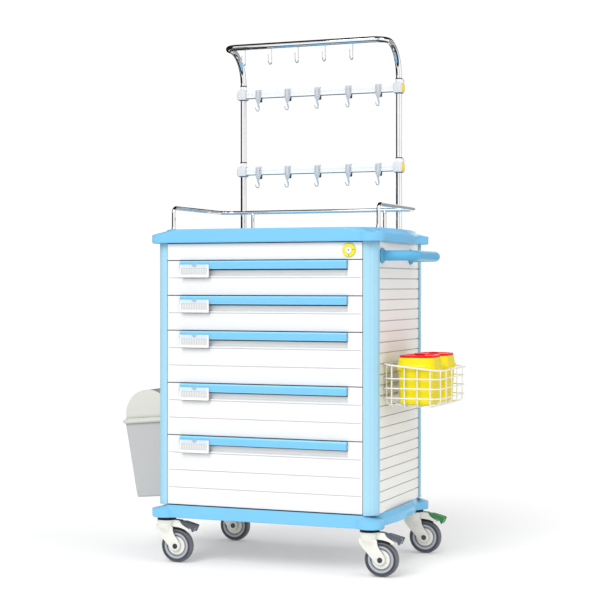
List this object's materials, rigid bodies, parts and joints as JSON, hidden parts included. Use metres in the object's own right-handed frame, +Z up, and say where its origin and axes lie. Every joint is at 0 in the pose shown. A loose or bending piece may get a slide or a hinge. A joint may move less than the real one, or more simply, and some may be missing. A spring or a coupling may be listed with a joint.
{
  "type": "crash cart",
  "caption": "Ward crash cart: drawer carcass on swivel castors with worktop guard rail, push handle, drip frame with hook rails, wire side basket, sharps bins and swing-lid waste bin.",
  "frame": {"origin": "centre of the whole cart's footprint box at floor level", "axes": "+Z up; -Y is the drawer front; +X is towards the push handle side"},
  "size_m": [1.05, 0.512, 1.5915],
  "materials": {
    "sky_blue_plastic": "satin moulded",
    "pale_blue_profile": "satin extruded",
    "mid_blue_plastic": "satin moulded",
    "white_plastic": "satin moulded",
    "tray_plastic": "satin moulded",
    "runner_steel": "powder coated",
    "lock_yellow": "gloss",
    "lock_barrel": "satin",
    "chrome_tube": "polished",
    "rail_aluminium": "anodised",
    "hook_plastic": "satin",
    "coated_wire": "plastic dipped",
    "black_rubber": "matt",
    "castor_cream": "satin",
    "tyre_grey": "matt",
    "pedal_grey": "matt",
    "pedal_green": "satin",
    "bin_grey": "satin",
    "bin_cream": "satin",
    "flap_grey": "satin",
    "sharps_yellow": "satin",
    "sharps_red": "gloss"
  },
  "bodies": {
    "cart": {"base_tray": "sky_blue_plastic", "corner_posts": "pale_blue_profile", "wall_panels": "white_plastic", "header_panel": "white_plastic", "worktop": "sky_blue_plastic", "drawer_runners": "runner_steel", "lock_ring": "lock_yellow", "push_handle": "mid_blue_plastic", "guard_rail": "chrome_tube", "iv_frame": "chrome_tube", "swivel_rings": "black_rubber", "wire_basket": "coated_wire", "bin_hanger": "runner_steel"},
    "lock": {"lock_knob": "lock_barrel"},
    "drawer_1": {"drawer_1_front": "white_plastic", "drawer_1_grip": "sky_blue_plastic", "drawer_1_tray": "tray_plastic"},
    "drawer_2": {"drawer_2_front": "white_plastic", "drawer_2_grip": "sky_blue_plastic", "drawer_2_tray": "tray_plastic"},
    "drawer_3": {"drawer_3_front": "white_plastic", "drawer_3_grip": "sky_blue_plastic", "drawer_3_tray": "tray_plastic"},
    "drawer_4": {"drawer_4_front": "white_plastic", "drawer_4_grip": "sky_blue_plastic", "drawer_4_tray": "tray_plastic"},
    "drawer_5": {"drawer_5_front": "white_plastic", "drawer_5_grip": "sky_blue_plastic", "drawer_5_tray": "tray_plastic"},
    "castor_front_left_swivel": {"castor_front_left_fork": "castor_cream"},
    "castor_front_left_roller": {"castor_front_left_wheel": "tyre_grey"},
    "castor_front_left_brake": {"castor_front_left_pedal": "pedal_grey"},
    "castor_rear_left_swivel": {"castor_rear_left_fork": "castor_cream"},
    "castor_rear_left_roller": {"castor_rear_left_wheel": "tyre_grey"},
    "castor_rear_left_brake": {"castor_rear_left_pedal": "pedal_grey"},
    "castor_front_right_swivel": {"castor_front_right_fork": "castor_cream"},
    "castor_front_right_roller": {"castor_front_right_wheel": "tyre_grey"},
    "castor_front_right_brake": {"castor_front_right_pedal": "pedal_grey"},
    "castor_rear_right_swivel": {"castor_rear_right_fork": "castor_cream"},
    "castor_rear_right_roller": {"castor_rear_right_wheel": "tyre_grey"},
    "castor_rear_right_brake": {"castor_rear_right_pedal": "pedal_green"},
    "rail_upper": {"rail_upper": "rail_aluminium"},
    "hook_upper_1": {"hook_upper_1": "hook_plastic"},
    "hook_upper_2": {"hook_upper_2": "hook_plastic"},
    "hook_upper_3": {"hook_upper_3": "hook_plastic"},
    "hook_upper_4": {"hook_upper_4": "hook_plastic"},
    "hook_upper_5": {"hook_upper_5": "hook_plastic"},
    "rail_lower": {"rail_lower": "rail_aluminium"},
    "hook_lower_1": {"hook_lower_1": "hook_plastic"},
    "hook_lower_2": {"hook_lower_2": "hook_plastic"},
    "hook_lower_3": {"hook_lower_3": "hook_plastic"},
    "hook_lower_4": {"hook_lower_4": "hook_plastic"},
    "hook_lower_5": {"hook_lower_5": "hook_plastic"},
    "bin": {"bin_bucket": "bin_grey"},
    "bin_lid": {"bin_lid": "bin_cream"},
    "bin_flap": {"bin_flap": "flap_grey"},
    "sharps_front": {"sharps_front_body": "sharps_yellow"},
    "sharps_front_lid": {"sharps_front_lid": "sharps_red"},
    "sharps_rear": {"sharps_rear_body": "sharps_yellow"},
    "sharps_rear_lid": {"sharps_rear_lid": "sharps_red"}
  },
  "joints": [
    {"name": "lock_turn", "type": "hinge", "parent": "cart", "child": "lock", "pos_m": [0.27409, -0.237, 0.931], "axis": [0, -1, 0], "range_deg": [0, 90]},
    {"name": "drawer_1_slide", "type": "slide", "parent": "cart", "child": "drawer_1", "axis": [0, -1, 0], "range_m": [0, 0.33]},
    {"name": "drawer_2_slide", "type": "slide", "parent": "cart", "child": "drawer_2", "axis": [0, -1, 0], "range_m": [0, 0.33]},
    {"name": "drawer_3_slide", "type": "slide", "parent": "cart", "child": "drawer_3", "axis": [0, -1, 0], "range_m": [0, 0.33]},
    {"name": "drawer_4_slide", "type": "slide", "parent": "cart", "child": "drawer_4", "axis": [0, -1, 0], "range_m": [0, 0.33]},
    {"name": "drawer_5_slide", "type": "slide", "parent": "cart", "child": "drawer_5", "axis": [0, -1, 0], "range_m": [0, 0.33]},
    {"name": "castor_front_left_swivel_turn", "type": "hinge", "parent": "cart", "child": "castor_front_left_swivel", "pos_m": [-0.31711, -0.2127, 0.108], "axis": [0, 0, 1], "continuous": true},
    {"name": "castor_front_left_wheel_spin", "type": "hinge", "parent": "castor_front_left_swivel", "child": "castor_front_left_roller", "pos_m": [-0.28071, -0.2127, 0.05], "axis": [0, 1, 0], "continuous": true},
    {"name": "castor_front_left_pedal_press", "type": "hinge", "parent": "castor_front_left_swivel", "child": "castor_front_left_brake", "pos_m": [-0.28311, -0.2127, 0.1195], "axis": [0, 1, 0], "range_deg": [0, 8]},
    {"name": "castor_rear_left_swivel_turn", "type": "hinge", "parent": "cart", "child": "castor_rear_left_swivel", "pos_m": [-0.31711, 0.2127, 0.108], "axis": [0, 0, 1], "continuous": true},
    {"name": "castor_rear_left_wheel_spin", "type": "hinge", "parent": "castor_rear_left_swivel", "child": "castor_rear_left_roller", "pos_m": [-0.28071, 0.2127, 0.05], "axis": [0, 1, 0], "continuous": true},
    {"name": "castor_rear_left_pedal_press", "type": "hinge", "parent": "castor_rear_left_swivel", "child": "castor_rear_left_brake", "pos_m": [-0.28311, 0.2127, 0.1195], "axis": [0, 1, 0], "range_deg": [0, 8]},
    {"name": "castor_front_right_swivel_turn", "type": "hinge", "parent": "cart", "child": "castor_front_right_swivel", "pos_m": [0.32809, -0.2127, 0.108], "axis": [0, 0, 1], "continuous": true},
    {"name": "castor_front_right_wheel_spin", "type": "hinge", "parent": "castor_front_right_swivel", "child": "castor_front_right_roller", "pos_m": [0.36449, -0.2127, 0.05], "axis": [0, 1, 0], "continuous": true},
    {"name": "castor_front_right_pedal_press", "type": "hinge", "parent": "castor_front_right_swivel", "child": "castor_front_right_brake", "pos_m": [0.36209, -0.2127, 0.1195], "axis": [0, 1, 0], "range_deg": [0, 8]},
    {"name": "castor_rear_right_swivel_turn", "type": "hinge", "parent": "cart", "child": "castor_rear_right_swivel", "pos_m": [0.32809, 0.2127, 0.108], "axis": [0, 0, 1], "continuous": true},
    {"name": "castor_rear_right_wheel_spin", "type": "hinge", "parent": "castor_rear_right_swivel", "child": "castor_rear_right_roller", "pos_m": [0.36449, 0.2127, 0.05], "axis": [0, 1, 0], "continuous": true},
    {"name": "castor_rear_right_pedal_press", "type": "hinge", "parent": "castor_rear_right_swivel", "child": "castor_rear_right_brake", "pos_m": [0.36209, 0.2127, 0.1195], "axis": [0, 1, 0], "range_deg": [0, 8]},
    {"name": "rail_upper_height", "type": "slide", "parent": "cart", "child": "rail_upper", "axis": [0, 0, 1], "range_m": [-0.09, 0]},
    {"name": "hook_upper_1_slide", "type": "slide", "parent": "rail_upper", "child": "hook_upper_1", "axis": [1, 0, 0], "range_m": [-0.025, 0.035]},
    {"name": "hook_upper_2_slide", "type": "slide", "parent": "rail_upper", "child": "hook_upper_2", "axis": [1, 0, 0], "range_m": [-0.035, 0.035]},
    {"name": "hook_upper_3_slide", "type": "slide", "parent": "rail_upper", "child": "hook_upper_3", "axis": [1, 0, 0], "range_m": [-0.035, 0.035]},
    {"name": "hook_upper_4_slide", "type": "slide", "parent": "rail_upper", "child": "hook_upper_4", "axis": [1, 0, 0], "range_m": [-0.035, 0.035]},
    {"name": "hook_upper_5_slide", "type": "slide", "parent": "rail_upper", "child": "hook_upper_5", "axis": [1, 0, 0], "range_m": [-0.035, 0.035]},
    {"name": "rail_lower_height", "type": "slide", "parent": "cart", "child": "rail_lower", "axis": [0, 0, 1], "range_m": [-0.06, 0.06]},
    {"name": "hook_lower_1_slide", "type": "slide", "parent": "rail_lower", "child": "hook_lower_1", "axis": [1, 0, 0], "range_m": [-0.025, 0.035]},
    {"name": "hook_lower_2_slide", "type": "slide", "parent": "rail_lower", "child": "hook_lower_2", "axis": [1, 0, 0], "range_m": [-0.035, 0.035]},
    {"name": "hook_lower_3_slide", "type": "slide", "parent": "rail_lower", "child": "hook_lower_3", "axis": [1, 0, 0], "range_m": [-0.035, 0.035]},
    {"name": "hook_lower_4_slide", "type": "slide", "parent": "rail_lower", "child": "hook_lower_4", "axis": [1, 0, 0], "range_m": [-0.035, 0.035]},
    {"name": "hook_lower_5_slide", "type": "slide", "parent": "rail_lower", "child": "hook_lower_5", "axis": [1, 0, 0], "range_m": [-0.035, 0.035]},
    {"name": "bin_lift", "type": "slide", "parent": "cart", "child": "bin", "axis": [0, 0, 1], "range_m": [0, 0.12]},
    {"name": "bin_lid_lift", "type": "slide", "parent": "bin", "child": "bin_lid", "axis": [-0.0837, 0, 0.9965], "range_m": [0, 0.08]},
    {"name": "bin_flap_swing", "type": "hinge", "parent": "bin_lid", "child": "bin_flap", "pos_m": [-0.43726, -0.004, 0.485], "axis": [0, 1, 0], "range_deg": [-35, 35]},
    {"name": "sharps_front_lift", "type": "slide", "parent": "cart", "child": "sharps_front", "axis": [0, 0, 1], "range_m": [0, 0.2]},
    {"name": "sharps_front_lid_lift", "type": "slide", "parent": "sharps_front", "child": "sharps_front_lid", "axis": [0, 0, 1], "range_m": [0, 0.05]},
    {"name": "sharps_rear_lift", "type": "slide", "parent": "cart", "child": "sharps_rear", "axis": [0, 0, 1], "range_m": [0, 0.2]},
    {"name": "sharps_rear_lid_lift", "type": "slide", "parent": "sharps_rear", "child": "sharps_rear_lid", "axis": [0, 0, 1], "range_m": [0, 0.05]}
  ]
}
